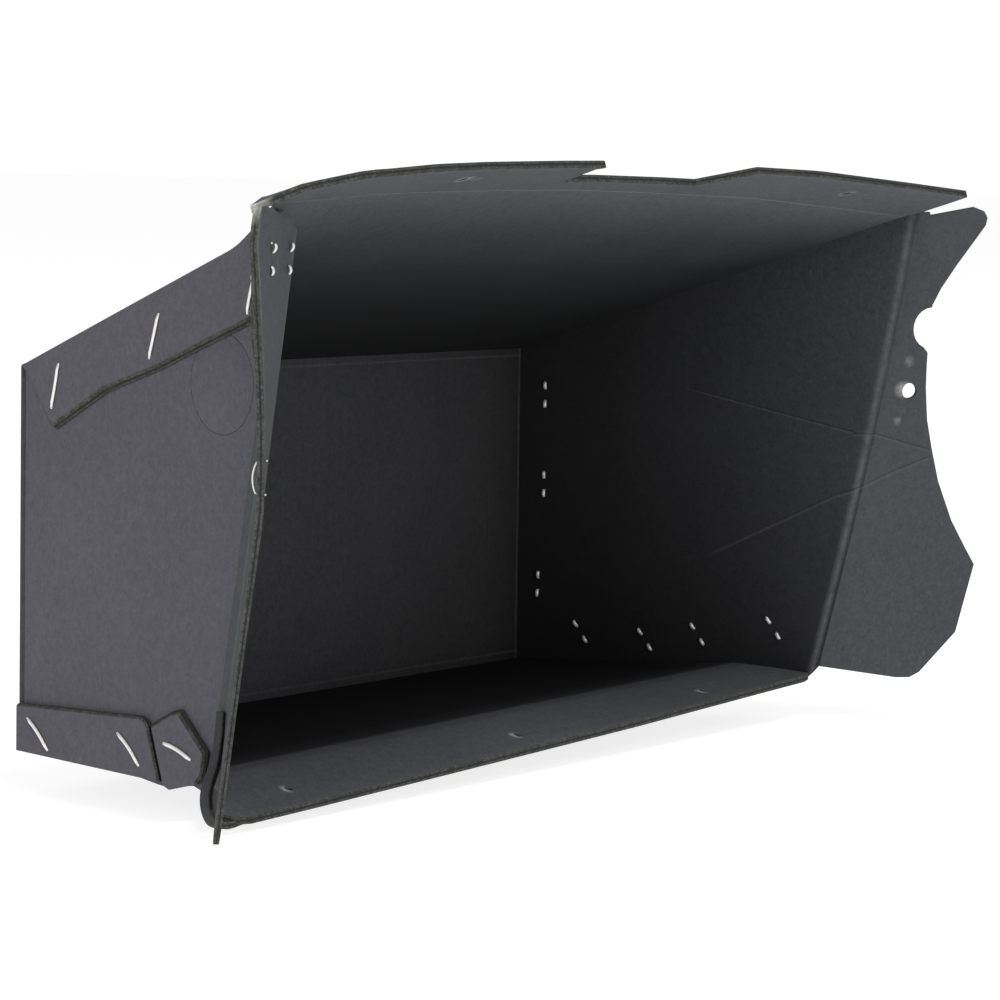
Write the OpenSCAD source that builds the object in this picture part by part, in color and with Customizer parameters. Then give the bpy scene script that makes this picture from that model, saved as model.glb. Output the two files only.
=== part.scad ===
// Glove box liner: a tapered tray of folded fibreboard, open at the front and held
// together with flat-wire staples. The origin is the middle of the back panel's outer
// face. X runs across the car, -Y points out of the opening and Z points up.

/* [Box] */
// Thickness of the fibreboard
board = 2.2; // [1.5:0.1:3.2]
// Inside width of the box at the back panel
back_w = 250; // [200:5:300]
// Inside height of the box at the back panel
back_h = 99; // [80:1:120]
// Inside depth from the back panel to the top front edge
depth = 116; // [95:1:140]
// Inside width of the opening at its top front edge
front_w = 328; // [270:2:400]
// Height of the top front edge above the rear floor
front_h = 143; // [120:1:175]
// Distance that the opening's lower corners sit behind its top edge
lean = 28; // [20:1:36]

/* [Floor and lip] */
// Distance from the top front edge back to the crease between floor and lip
crease_setback = 48; // [42:1:56]
// Slope of the front lip below the level of the floor, in degrees
lip_slope = 8; // [4:1:12]
// Distance from the top front edge back to the lip's free edge
lip_setback = 25; // [18:1:26]
// Height of the lip's turned-up left end
lip_end_h = 19; // [14:1:24]

/* [Top flange] */
// Slope of the top flange above level, in degrees
flange_slope = 16; // [8:1:30]
// Reach of the two wide tabs in front of the top fold
tab_reach = 23; // [18:1:28]
// Reach of the narrow strip between the tabs
strip_reach = 8; // [5:1:12]
// Reach past the opening's corner of the left tab
left_tab_overhang = 18; // [10:1:22]
// Distance from the middle to the inner end of the left tab
left_tab_end = 48; // [30:1:70]
// Distance from the middle to the inner end of the right tab
right_tab_end = 25; // [15:1:60]

/* [Side flanges] */
// Angle between the right flange and the right side panel's plane, in degrees
right_fold = 25; // [10:1:45]
// Angle of the left flange's lower half from straight ahead, in degrees
left_fold = 53; // [40:1:62]
// Extra angle of the left flange at its top end, in degrees
left_twist = 29; // [0:1:35]
// Width of the left flange
left_flange_w = 22; // [16:1:28]
// Length of the left flange below the box's corner
left_flange_drop = 12; // [6:1:16]
// Width of the right flange at its narrow waist
waist_w = 16; // [14:1:20]
// Width of the right flange at its widest point
wing_w = 44; // [36:1:52]
// Radius of the notch in the right flange
notch_r = 6.5; // [5:0.5:8]

/* [Holes] */
// Diameter of the screw hole in the right flange
flange_hole_d = 4.9; // [3.5:0.1:6]
// Diameter of the screw holes in the two top tabs
tab_hole_d = 3.2; // [2.5:0.1:5]
// Diameter of the screw holes in the front lip
lip_hole_d = 3.2; // [2.5:0.1:5]
// Diameter of the knock-out in the left side panel
knockout_d = 27; // [20:1:32]
// Width of the slit around the knock-out disc
slit = 0.3; // [0.2:0.1:0.6]

/* [Staples] */
// Length of a staple's crown
crown = 12.7; // [10:0.1:16]
// Width of the flat staple wire
wire_w = 1.1; // [0.8:0.1:2]
// Thickness of the flat staple wire
wire_t = 0.6; // [0.4:0.1:0.8]
// Length of each clinched staple tip
tip = 3.1; // [2:0.1:4]

/* [Fits] */
// Clearance along the fold of the moving right flange
fold_gap = 0.3; // [0.2:0.1:0.6]

/* [Hidden] */
$fn = 48;
outside = "#4a4b50";
wire = "#c9cbc8";
reach = 600;

// Inner faces of the box
y_back = -board;
y_front = y_back - depth;
y_crease = y_front + crease_setback;
y_lip = y_front + lip_setback;
y_corner = y_front + lean;
z_floor = -back_h / 2;
z_roof = back_h / 2;
z_front = z_floor + front_h;
z_corner = z_floor - (crease_setback - lean) * tan(lip_slope);
z_lip = z_floor - (crease_setback - lip_setback) * tan(lip_slope);

// Splay of the side panels, slope of the roof, lean of the front folds
splay = atan((front_w - back_w) / 2 / depth);
roof_slope = atan((z_front - z_roof) / depth);
wall = board / cos(splay);
roof = board / cos(roof_slope);
flange = board / cos(flange_slope);
tab_rise = tab_reach * tan(flange_slope);
function half_w(y) = back_w / 2 + (y_back - y) * tan(splay);
function roof_z(y) = z_roof + (y_back - y) * tan(roof_slope);
function front_y(z) = y_front + (z_front - z) / (z_front - z_corner) * lean;

// Outlines seen from the side, as [y, z]
hollow = [
    [y_back, z_roof], [y_front, z_front], [y_corner, z_corner],
    [y_crease, z_floor], [y_back, z_floor]
];
roof_band = [
    [y_back, z_roof], [y_front, z_front], [y_front, z_front + roof],
    [y_back, z_roof + roof]
];
floor_band = [
    [y_back, z_floor], [y_crease, z_floor], [y_crease, z_floor - board],
    [y_back, z_floor - board]
];
flange_band = [
    [y_front, z_front], [y_front - tab_reach, z_front + tab_rise],
    [y_front - tab_reach, z_front + tab_rise + flange], [y_front, z_front + flange]
];
lip_band = [
    [y_crease, z_floor], [y_lip, z_lip], [y_lip, z_lip - board],
    [y_crease, z_floor - board]
];

// Everything in an outline seen from the side, as [y, z]
module side_outline(points) {
    rotate([90, 0, 90])
        linear_extrude(height = 2 * reach, center = true)
            polygon(points);
}

// Everything in an outline seen from above, as [x, y]
module plan_outline(points) {
    translate([0, 0, -reach])
        linear_extrude(height = 2 * reach)
            polygon(points);
}

// The layer of a side panel between two distances outside its inner face
module side_layer(side, from, to) {
    a = from / cos(splay);
    b = to / cos(splay);
    plan_outline([
        [side * (half_w(y_back) + a), y_back], [side * (half_w(y_back) + b), y_back],
        [side * (half_w(y_front) + b), y_front], [side * (half_w(y_front) + a), y_front]
    ]);
}

// Puts a child on a side panel: its Z axis points out of the box, its X axis points down
module on_side(side, y, z, out = 0) {
    translate([side * (half_w(y) + out / cos(splay)), y, z])
        rotate([0, 0, side > 0 ? splay : 180 - splay])
            rotate([0, 90, 0])
                children();
}

// One staple through a number of boards: crown on the outer face, tips bent over inside
module staple(boards = 2) {
    grip = boards * board;
    translate([-crown / 2, -wire_w / 2, 0])
        cube([crown, wire_w, wire_t]);
    for (end = [-1, 1])
        translate([end * (crown - wire_t) / 2, 0, 0]) {
            translate([-wire_t / 2, -wire_w / 2, -grip - wire_t])
                cube([wire_t, wire_w, grip + 2 * wire_t]);
            translate([end > 0 ? -tip : 0, -wire_w / 2, -grip - wire_t])
                cube([tip, wire_w, wire_t]);
        }
}

module back_panel() {
    half = half_w(y_back) + wall;
    color(outside)
        translate([-half, -board, z_floor - board])
            cube([2 * half, board, back_h + board + roof]);
}

module top_panel() {
    color(outside)
        intersection() {
            side_outline(roof_band);
            plan_outline([
                [-half_w(y_back) - wall, y_back], [half_w(y_back) + wall, y_back],
                [half_w(y_front) + wall, y_front], [-half_w(y_front) - wall, y_front]
            ]);
        }
}

module floor_panel() {
    color(outside)
        intersection() {
            side_outline(floor_band);
            plan_outline([
                [-half_w(y_back) - wall, y_back], [half_w(y_back) + wall, y_back],
                [half_w(y_crease) + wall, y_crease], [-half_w(y_crease) - wall, y_crease]
            ]);
        }
}

// The lip's free edge has clipped corners and stays clear of the left flange's fold
lip_corner = 8;
lip_trim = 4;
lip_end = half_w(y_corner) + wall;
module front_lip() {
    color(outside)
        difference() {
            intersection() {
                side_outline(lip_band);
                plan_outline([
                    [-half_w(y_crease) - wall, y_crease], [half_w(y_crease) + wall, y_crease],
                    [lip_end, y_corner + 1], [lip_end - lip_corner, y_lip],
                    [lip_corner - lip_end, y_lip], [lip_trim - lip_end, y_corner + 1]
                ]);
            }
            for (place = lip_holes)
                lip_hole(place[0], place[1]);
        }
}

// Screw holes of the lip, as [x, distance behind the free edge]
lip_holes = [[-119, 7], [-5, 7], [100, 7]];
module lip_hole(x, back) {
    translate([x, y_lip + back, z_lip + back * tan(lip_slope)])
        cylinder(d = lip_hole_d, h = 6 * board, center = true);
}

// The lip's left end, turned up outside the left side panel in front of the flap
module lip_end_tab() {
    top = z_corner + lip_end_h;
    color(outside)
        intersection() {
            side_layer(-1, board, 2 * board);
            side_outline([
                [front_y(top) + 2.4, top], [front_y(top) + 6, top],
                [y_corner + 2.8, z_floor + 6], [y_corner + 4.6, z_floor],
                [y_corner + 5, z_corner - board], [y_corner + 2.4, z_corner - board]
            ]);
        }
}

// Middle of the knock-out in the left side panel, behind the top front edge and below the roof
knockout_back = 27;
knockout_below = 28.8;
module knockout_place() {
    y = y_front + knockout_back;
    on_side(-1, y, roof_z(y) - knockout_below)
        children();
}

module left_side_panel() {
    color(outside)
        difference() {
            intersection() {
                side_layer(-1, 0, board);
                side_outline(hollow);
            }
            knockout_place()
                cylinder(d = knockout_d, h = 4 * board, center = true);
        }
}

// The disc is held in its slit by three uncut nicks
module knockout_disc() {
    nick = 2.5;
    color(outside)
        knockout_place() {
            cylinder(d = knockout_d - 2 * slit, h = board);
            for (turn = [40, 160, 280])
                rotate([0, 0, turn])
                    translate([knockout_d / 2 - nick, -nick / 2, board * 0.3])
                        cube([nick, nick, board * 0.4]);
        }
}

// Score lines that cross the right side panel and its flange and meet at the flange's edge,
// each from [y, z] on the panel to the fold and from there to [out, down] on the flange
score_w = 1;
score_deep = 0.4;
score_tip = [23, 70];
upper_score = [[y_front + 64, z_floor + 88], [y_front + 14, z_floor + 76], [0, 66.5]];
lower_score = [[y_front + 57, z_floor + 36], [y_front + 17, z_floor + 57], [0, 86]];

module panel_score(from, to) {
    run = (from[0] - to[0]) / cos(splay);
    on_side(1, to[0], to[1])
        rotate([0, 0, atan2(run, to[1] - from[1])])
            translate([-run / 2, -score_w / 2, -score_deep])
                cube([norm([run, to[1] - from[1]]) + run / 2, score_w, 2 * score_deep]);
}

module right_side_panel() {
    color(outside)
        difference() {
            intersection() {
                side_layer(1, 0, board);
                side_outline(hollow);
            }
            panel_score(upper_score[0], upper_score[1]);
            panel_score(lower_score[0], lower_score[1]);
        }
}

// A piece of the top flange, from its outline as [x, distance in front of the fold]
module top_plate(points) {
    intersection() {
        side_outline(flange_band);
        plan_outline([for (p = points) [p[0], y_front - p[1]]]);
    }
}

// Screw hole of a top tab
tab_hole_reach = 12;
module tab_hole(x) {
    translate([x, y_front - tab_hole_reach, z_front + tab_hole_reach * tan(flange_slope)])
        rotate([-flange_slope, 0, 0])
            cylinder(d = tab_hole_d, h = 4 * board, center = true);
}

left_tab_hole_x = -105;
right_tab_hole_x = 104;

module left_top_tab() {
    end = -front_w / 2 - left_tab_overhang;
    color(outside)
        difference() {
            top_plate([
                [end + 2, 0], [end - 4, tab_reach * 0.45], [end, tab_reach * 0.85],
                [end + 8, tab_reach], [-left_tab_end, tab_reach], [-left_tab_end, 0]
            ]);
            tab_hole(left_tab_hole_x);
        }
}

module right_top_tab() {
    color(outside)
        difference() {
            top_plate([
                [right_tab_end - 5, 0], [right_tab_end - 5, strip_reach],
                [right_tab_end + 4, tab_reach], [front_w / 2 - 1, tab_reach],
                [front_w / 2 + 3, 3], [front_w / 2 + wall, 0]
            ]);
            tab_hole(right_tab_hole_x);
        }
}

module top_strip() {
    color(outside)
        top_plate([
            [-left_tab_end, 0], [-left_tab_end, strip_reach],
            [right_tab_end - 5, strip_reach], [right_tab_end - 5, 0]
        ]);
}

// Left front fold: its top and bottom points on the outer face, and points between them
fold_top = [-half_w(y_front) - wall, y_front, z_front];
fold_low = [-half_w(y_corner) - wall, y_corner, z_corner];
function fold_point(s) = fold_top + s * (fold_low - fold_top);
function fold_angle(s) = left_fold + left_twist * pow(max(0, 0.5 - s) / 0.5, 1.3);
function flange_dir(s) = [-sin(fold_angle(s)), -cos(fold_angle(s)), 0];
function flange_normal(s) = [-cos(fold_angle(s)), sin(fold_angle(s)), 0];

// A twisted solid along the left fold, from its cross-sections in order
module twisted_solid(rings) {
    n = len(rings[0]);
    last = n * (len(rings) - 1);
    sides = [
        for (i = [0:len(rings) - 2])
            for (k = [0:n - 1])
                let (a = n * i + k, b = n * i + (k + 1) % n)
                    each [[a, b, a + n], [b, b + n, a + n]]
    ];
    near_cap = [for (k = [n - 1:-1:0]) k];
    far_cap = [for (k = [0:n - 1]) last + k];
    polyhedron([for (r = rings) each r], concat(sides, [near_cap, far_cap]));
}

// The flange's cross-section wraps round the front edge of the side panel
function flange_ring(s) = [
    fold_point(s), fold_point(s) + [wall, 0, 0],
    fold_point(s) - board * flange_normal(s),
    fold_point(s) - board * flange_normal(s) + left_flange_w * flange_dir(s),
    fold_point(s) + left_flange_w * flange_dir(s)
];

flange_rows = 14;
drop_share = left_flange_drop / (z_front - z_corner);
module left_flange() {
    color(outside)
        twisted_solid([for (i = [0:flange_rows]) flange_ring((1 + drop_share) * i / flange_rows)]);
}

// The ear runs down from the left tab behind the top of the left flange
ear_share = 0.22;
ear_rows = 4;
ear_w = left_flange_w - 1;
function ear_ring(s) = [
    fold_point(s), fold_point(s) + ear_w * flange_dir(s),
    fold_point(s) + board * flange_normal(s) + ear_w * flange_dir(s),
    fold_point(s) + board * flange_normal(s)
];
module corner_ear() {
    color(outside)
        twisted_solid([for (i = [0:ear_rows]) ear_ring(ear_share * i / ear_rows)]);
}

// Right front fold: hinge line on the outer face, with the flange's own frame.
// X runs out across the flange, Y down along the fold, Z back through the board.
hinge_top = [half_w(y_front) + wall, y_front, z_front];
hinge_low = [half_w(y_corner) + wall, y_corner, z_corner];
fold_len = norm(hinge_low - hinge_top);
down = (hinge_low - hinge_top) / fold_len;
out_of_wall = [cos(splay), sin(splay), 0];
along_wall = cross(down, out_of_wall);
flange_x = along_wall * cos(right_fold) + out_of_wall * sin(right_fold);
flange_z = cross(flange_x, down);

module on_right_flange() {
    multmatrix([
        [flange_x[0], down[0], flange_z[0], hinge_top[0]],
        [flange_x[1], down[1], flange_z[1], hinge_top[1]],
        [flange_x[2], down[2], flange_z[2], hinge_top[2]]
    ])
        children();
}

// Outline of the right flange, as [out, down]
corner_r = 3;
waist_down = 47;
wing_down = 103;
foot_w = 28;
foot_down = fold_len - 0.5;
notch_down = 33;
hole_out = 11.9;
hole_down = 53;
scallop_steps = 10;
scallop = [
    for (i = [0:scallop_steps])
        let (u = i / scallop_steps)
            [
                waist_w + (wing_w - waist_w) * pow(u, 1.7),
                waist_down + (wing_down - waist_down) * u
            ]
];
flange_outline = concat(
    [[fold_gap, 1], [fold_gap + 6, 0.5], [20, -4.5]],
    [for (a = [-100:25:25]) [21.5 + corner_r * cos(a), -2 + corner_r * sin(a)]],
    [[18, 12], [15, 20], [waist_w - 2.4, notch_down - notch_r], [waist_w - 0.5, notch_down + notch_r]],
    scallop,
    [[wing_w - 1.5, wing_down + 22], [foot_w + 6, foot_down - 2.5], [foot_w, foot_down], [fold_gap, foot_down]]
);

module flange_score(from) {
    run = score_tip - from;
    translate([from[0], from[1], -board])
        rotate([0, 0, atan2(run[1], run[0])])
            translate([-1, -score_w / 2, -score_deep])
                cube([norm(run) + 4, score_w, 2 * score_deep]);
}

module right_flange() {
    color(outside)
        on_right_flange()
            difference() {
                translate([0, 0, -board])
                    linear_extrude(height = board)
                        polygon(flange_outline);
                translate([waist_w - 1.5, notch_down, 0])
                    cylinder(r = notch_r, h = 4 * board, center = true);
                translate([hole_out, hole_down, 0])
                    cylinder(d = flange_hole_d, h = 4 * board, center = true);
                flange_score(upper_score[2]);
                flange_score(lower_score[2]);
            }
}

// Flaps stapled outside the side panels, by their outline as [y, z]
module flap(side, points) {
    color(outside)
        intersection() {
            side_layer(side, board, 2 * board);
            side_outline(points);
        }
}

top_flap_drop = 20;
top_flap_back = 12;
module left_top_flap() {
    y_cut = y_back - top_flap_back;
    y_end = y_front + 6;
    flap(-1, [
        [y_back, roof_z(y_back) + roof], [y_back, z_roof + 1],
        [y_cut, roof_z(y_cut) - top_flap_drop + roof + 4],
        [y_end, roof_z(y_end) - top_flap_drop + roof], [y_end, roof_z(y_end) + roof]
    ]);
}

rear_flap_h = 12;
front_flap_h = 16.5;
flap_joint = y_crease + 6;
module left_rear_flap() {
    flap(-1, [
        [y_back, z_floor + rear_flap_h - 2], [flap_joint + 4, z_floor + rear_flap_h + 0.5],
        [flap_joint + 2, z_floor + rear_flap_h - 1], [flap_joint - 2, z_floor - board],
        [y_back, z_floor - board]
    ]);
}

module left_front_flap() {
    low = z_floor - board;
    flap(-1, [
        [flap_joint + 1.6, z_floor + rear_flap_h - 1], [y_crease - 3, z_floor + front_flap_h - 1],
        [y_crease - 5, z_floor + front_flap_h], [y_corner + 3.6, z_floor + 6],
        [y_corner + 5.4, z_floor], [y_corner + 6.5, low], [flap_joint - 2.4, low]
    ]);
}

back_flap_w = 18;
module right_back_flap() {
    flap(1, [
        [y_back, z_roof - 2], [y_back - back_flap_w, z_roof - 6],
        [y_back - back_flap_w, z_floor + 20], [y_back, z_floor + 17]
    ]);
}

floor_flap_h = 18;
module right_floor_flap() {
    low = z_floor - board;
    flap(1, [
        [y_back - 3, z_floor + floor_flap_h - 4], [y_back - 10, z_floor + floor_flap_h - 1],
        [y_corner + 12, z_floor + floor_flap_h], [y_corner + 4, z_floor + 8],
        [y_corner + 14, low], [y_crease, low], [y_back - 3, low]
    ]);
}

// Staples of a flap, each as [y, z, lean of the crown from upright]
module flap_staples(side, places) {
    color(wire)
        for (p = places)
            on_side(side, p[0], p[1], 2 * board)
                rotate([0, 0, p[2]])
                    staple();
}

module left_top_staples() {
    flap_staples(-1, [for (back = [11, 57, 101])
        [y_front + back, roof_z(y_front + back) - 7, -14]]);
}

module left_floor_staples() {
    flap_staples(-1, [
        [y_front + 108, z_floor + 5, 52], [y_front + 66.5, z_floor + 5, 53],
        [y_front + 44.5, z_floor + 6, 77]
    ]);
}

module right_back_staples() {
    flap_staples(1, [for (up = [24, 56, 84.5]) [y_back - 8, z_floor + up, 0]]);
}

module right_floor_staples() {
    flap_staples(1, [for (back = [96, 76, 60, 37]) [y_front + back, z_floor + 9, -32]]);
}

// Puts a child behind the left flange, a number of boards behind its back face
module behind_flange(s, out, boards) {
    translate(fold_point(s) + out * flange_dir(s) + boards * board * flange_normal(s))
        rotate([0, 0, 180 - fold_angle(s)])
            rotate([0, 90, 0])
                children();
}

module ear_staples() {
    color(wire)
        for (out = [3.6, 14.2])
            behind_flange(0.05, out, 1)
                staple(2);
}

module flange_staple() {
    color(wire)
        behind_flange(0.46, 15, 0)
            staple(1);
}

back_panel();
top_panel();
floor_panel();
front_lip();
lip_end_tab();
left_side_panel();
right_side_panel();
knockout_disc();
left_top_tab();
right_top_tab();
top_strip();
left_flange();
corner_ear();
right_flange();
left_top_flap();
left_rear_flap();
left_front_flap();
right_back_flap();
right_floor_flap();
left_top_staples();
left_floor_staples();
right_back_staples();
right_floor_staples();
ear_staples();
flange_staple();
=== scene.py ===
import math

import bmesh
import bpy
from mathutils import Matrix, Vector


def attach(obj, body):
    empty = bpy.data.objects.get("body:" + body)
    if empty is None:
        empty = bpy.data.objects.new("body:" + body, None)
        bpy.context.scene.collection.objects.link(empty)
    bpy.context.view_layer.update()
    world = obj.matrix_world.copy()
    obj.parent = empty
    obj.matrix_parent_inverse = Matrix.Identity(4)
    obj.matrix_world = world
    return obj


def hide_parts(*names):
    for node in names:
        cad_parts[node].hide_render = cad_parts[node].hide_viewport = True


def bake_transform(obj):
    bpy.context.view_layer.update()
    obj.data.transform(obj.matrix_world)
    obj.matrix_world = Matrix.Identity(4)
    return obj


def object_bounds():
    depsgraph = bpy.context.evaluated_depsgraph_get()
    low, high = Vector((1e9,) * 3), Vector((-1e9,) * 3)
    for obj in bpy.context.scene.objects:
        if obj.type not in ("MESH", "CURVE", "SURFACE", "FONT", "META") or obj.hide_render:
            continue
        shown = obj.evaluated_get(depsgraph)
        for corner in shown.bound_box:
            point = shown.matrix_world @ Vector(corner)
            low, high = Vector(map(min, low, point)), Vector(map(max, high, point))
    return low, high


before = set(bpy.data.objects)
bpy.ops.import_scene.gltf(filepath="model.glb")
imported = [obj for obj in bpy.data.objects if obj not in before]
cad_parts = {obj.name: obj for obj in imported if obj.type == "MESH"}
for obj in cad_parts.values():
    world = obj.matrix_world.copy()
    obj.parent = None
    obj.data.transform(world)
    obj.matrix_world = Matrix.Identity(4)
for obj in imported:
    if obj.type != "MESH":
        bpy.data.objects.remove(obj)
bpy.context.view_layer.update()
mm = 0.001
print("frame loaded:", len(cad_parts), "nodes")

# sizes shared by every panel, in millimetres, in the frame of the CAD model
box = {
    "board": 2.2,
    "backY": -2.2,
    "frontY": -118.2,
    "creaseY": -70.2,
    "lipY": -93.2,
    "cornerY": -90.2,
    "backHalf": 125.0,
    "frontHalf": 164.0,
    "floorZ": -49.5,
    "roofZ": 49.5,
    "frontZ": 93.5,
    "cornerZ": -52.31,
    "foldSkin": 2.6,  # how far the right fold's own strip reaches to each side
    "plyGap": 0.06,  # air between a panel and a flap stapled to it
}
board = box["board"]
depth = box["backY"] - box["frontY"]
splay = math.atan((box["frontHalf"] - box["backHalf"]) / depth)
wallX = board / math.cos(splay)
roofSlope = math.atan((box["frontZ"] - box["roofZ"]) / depth)


def clamp(t):
    return max(0.0, min(1.0, t))


def smooth(t):
    t = clamp(t)
    return t * t * (3 - 2 * t)


def between(x, table):
    # straight-line reading of a table of (x, value)
    if x <= table[0][0]:
        return table[0][1]
    for (x0, a), (x1, b) in zip(table, table[1:]):
        if x <= x1:
            return a + (b - a) * (x - x0) / (x1 - x0)
    return table[-1][1]


def halfWidth(y):
    return box["backHalf"] + (box["backY"] - y) * math.tan(splay)


def roofHeight(y):
    return box["roofZ"] + (box["backY"] - y) * math.tan(roofSlope)


# the sheet isn't flat: the roof arches up at the mouth, and the lip droops on the left
warp = {
    "arch": [
        (-190, 4.2), (-176, 8.6), (-154, 9.2), (-131, 10.3), (-107, 10.7), (-70, 10.8), (-31, 10.6),
        (6, 9.5), (71, 7.0), (127, 3.0), (164, 0.2)],
    "archReach": 62.0,  # how far back from the mouth the arch reaches
    "cornerReach": 22.0,  # the same at the left corner
    "cornerX": -166.0,
    "cornerFade": 60.0,
    "evenShare": 0.27,  # the part of the arch that grows evenly from the back
    "backLeft": 2.8,
    "backFrom": -10.0,
    "backFade": 60.0,
    "lip": [(-157, -11.0), (-117, -10.0), (-15, -7.0), (50, -5.0), (117, -2.4), (155, -1.0)],
    "lipSweep": 1.25,
    "crease": [(-157, -3.0), (0, -0.6), (155, 1.4)],
    "creaseReach": 34.0,
    "leftHead": 0.96,  # the left panel's head follows the arch a little less
    "headFade": 16.0,
    "flapFade": 20.0,
    "footFade": 10.0,
    "footShare": 0.35,
}


def backTilt(x):
    return warp["backLeft"] * clamp((box["backHalf"] - x) / (2 * box["backHalf"]))


def roofLift(x, y):
    corner = smooth((x - warp["cornerX"]) / warp["cornerFade"])
    reach = warp["cornerReach"] + (warp["archReach"] - warp["cornerReach"]) * corner
    ramp = smooth((box["frontY"] + reach - y) / reach)
    line = clamp((box["backY"] - y) / depth)
    share = warp["evenShare"] * line + (1 - warp["evenShare"]) * ramp
    return between(x, warp["arch"]) * share + backTilt(x) * (1 - line)


def floorDrop(x, y):
    crease = between(x, warp["crease"])
    if y > box["creaseY"]:
        return crease * smooth((box["creaseY"] + warp["creaseReach"] - y) / warp["creaseReach"])
    t = (box["creaseY"] - y) / (box["creaseY"] - box["lipY"])
    return crease + (between(x, warp["lip"]) - crease) * (t ** warp["lipSweep"])


class Sock:
    # a socket that can be used in sums
    def __init__(self, tree, socket):
        self.tree = tree
        self.socket = socket

    def math(self, operation, other=None, flip=False):
        made = self.tree.nodes.new("ShaderNodeMath")
        made.operation = operation
        pair = (other, self) if flip else (self, other)
        for slot, value in zip(made.inputs, pair):
            if isinstance(value, Sock):
                self.tree.links.new(value.socket, slot)
            elif value is not None:
                slot.default_value = value
        return Sock(self.tree, made.outputs[0])

    def __add__(self, other):
        return self.math("ADD", other)

    def __sub__(self, other):
        return self.math("SUBTRACT", other)

    def __rsub__(self, other):
        return self.math("SUBTRACT", other, flip=True)

    def __mul__(self, other):
        return self.math("MULTIPLY", other)

    def __rmul__(self, other):
        return self.math("MULTIPLY", other, flip=True)

    def __truediv__(self, other):
        return self.math("DIVIDE", other)

    def clip(self):
        return self.math("MINIMUM", 1.0).math("MAXIMUM", 0.0)


class Finish:
    # one material and its nodes
    def __init__(self, name):
        self.material = bpy.data.materials.new(name)
        self.material.use_nodes = True
        self.tree = self.material.node_tree
        self.tree.nodes.clear()

    def node(self, kind, settings=None, values=None, out=0):
        made = self.tree.nodes.new("ShaderNode" + kind)
        for key, value in (settings or {}).items():
            if key == "stops":
                ramp = made.color_ramp
                while len(ramp.elements) < len(value):
                    ramp.elements.new(0.5)
                for element, (at, colour) in zip(ramp.elements, value):
                    element.position = at
                    element.color = (*colour, 1)
            else:
                setattr(made, key, value)
        for key, value in (values or {}).items():
            if isinstance(value, Sock):
                self.tree.links.new(value.socket, made.inputs[key])
            else:
                made.inputs[key].default_value = value
        return Sock(self.tree, made.outputs[out]) if len(made.outputs) else None

    def place(self):
        return self.node("TexCoord", out=3)

    def noise(self, where, scale, detail=3.0, rough=0.6):
        return self.node("TexNoise", None, {
            "Vector": where, "Scale": scale, "Detail": detail, "Roughness": rough})

    def blend(self, factor, a, b):
        return self.node("Mix", {"data_type": "RGBA"}, {0: factor, 6: a, 7: b}, out=2)

    def spot(self, where, at, size):
        # 1 at a point on the piece, fading to 0 at its size
        centre = tuple(v * mm for v in at)
        gap = self.node("VectorMath", {"operation": "DISTANCE"}, {0: where, 1: centre}, out=1)
        return (1 - gap / (size * mm)).clip()

    def strip(self, across, at, width):
        # 1 along a line of the sheet, fading to 0 at half its width
        return (1 - (across - at).math("ABSOLUTE") / (width / 2)).clip()

    def close(self, colour, rough, height, relief, strength, metal=0.0, level=0.35, glow=0.0):
        # relief is the bump's depth in millimetres, glow a white light of its own
        bump = self.node("Bump", None, {"Strength": strength, "Distance": relief * mm, "Height": height})
        shader = self.node("BsdfPrincipled", None, {
            "Base Color": colour, "Roughness": rough, "Normal": bump, "Metallic": metal,
            "Specular IOR Level": level, "Emission Color": (1, 1, 1, 1), "Emission Strength": glow})
        self.node("OutputMaterial", None, {"Surface": shader})
        return self.material


def colour(r, g, b):
    return (r, g, b, 1)


boardLook = {
    "dark": (0.040, 0.041, 0.045),
    "light": (0.080, 0.081, 0.088),
    "fibre": (0.17, 0.17, 0.17),
    "wearAndHighlight": (0.21, 0.21, 0.22),
    "grooveShade": (0.012, 0.012, 0.013),
    "torn": (0.62, 0.61, 0.58),
    "paintedShadeColour": (0.004, 0.004, 0.004),
    "rough": 0.62,
    "mottle": (34, 5.0, 0.62),  # scale, detail and roughness of each pattern
    "cloud": (9, 3.0, 0.5),
    "grain": (1150, 3.0, 0.7),
    "pulp": (420, 4.0, 0.75),
    "fibreScale": (900, 900, 260),
}


def paintedInnerShade(finish, where, side, tables):
    # painted shade: the inner face is painted darker deep in the box, standing in for the shade there;
    # each table is an axis and its (mm, lightness) pairs, and side is the ply that faces inwards, 0 or 1
    axes = finish.node("SeparateXYZ", None, {"Vector": where}).socket.node.outputs
    light = 1.0
    for axis, table in tables:
        low, high = table[0][0], table[-1][0]
        share = ((Sock(finish.tree, axes[axis]) - low * mm) / ((high - low) * mm)).clip()
        stops = [((at - low) / (high - low), (v, v, v)) for at, v in table]
        light = light * finish.node("ValToRGB", {"stops": stops}, {0: share})
    ply = finish.node("Attribute", {"attribute_name": "ply"}, out=2)
    inner = (finish.strip(ply, side, 1.2) * 4.0).clip()
    return inner * (1 - light)


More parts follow.
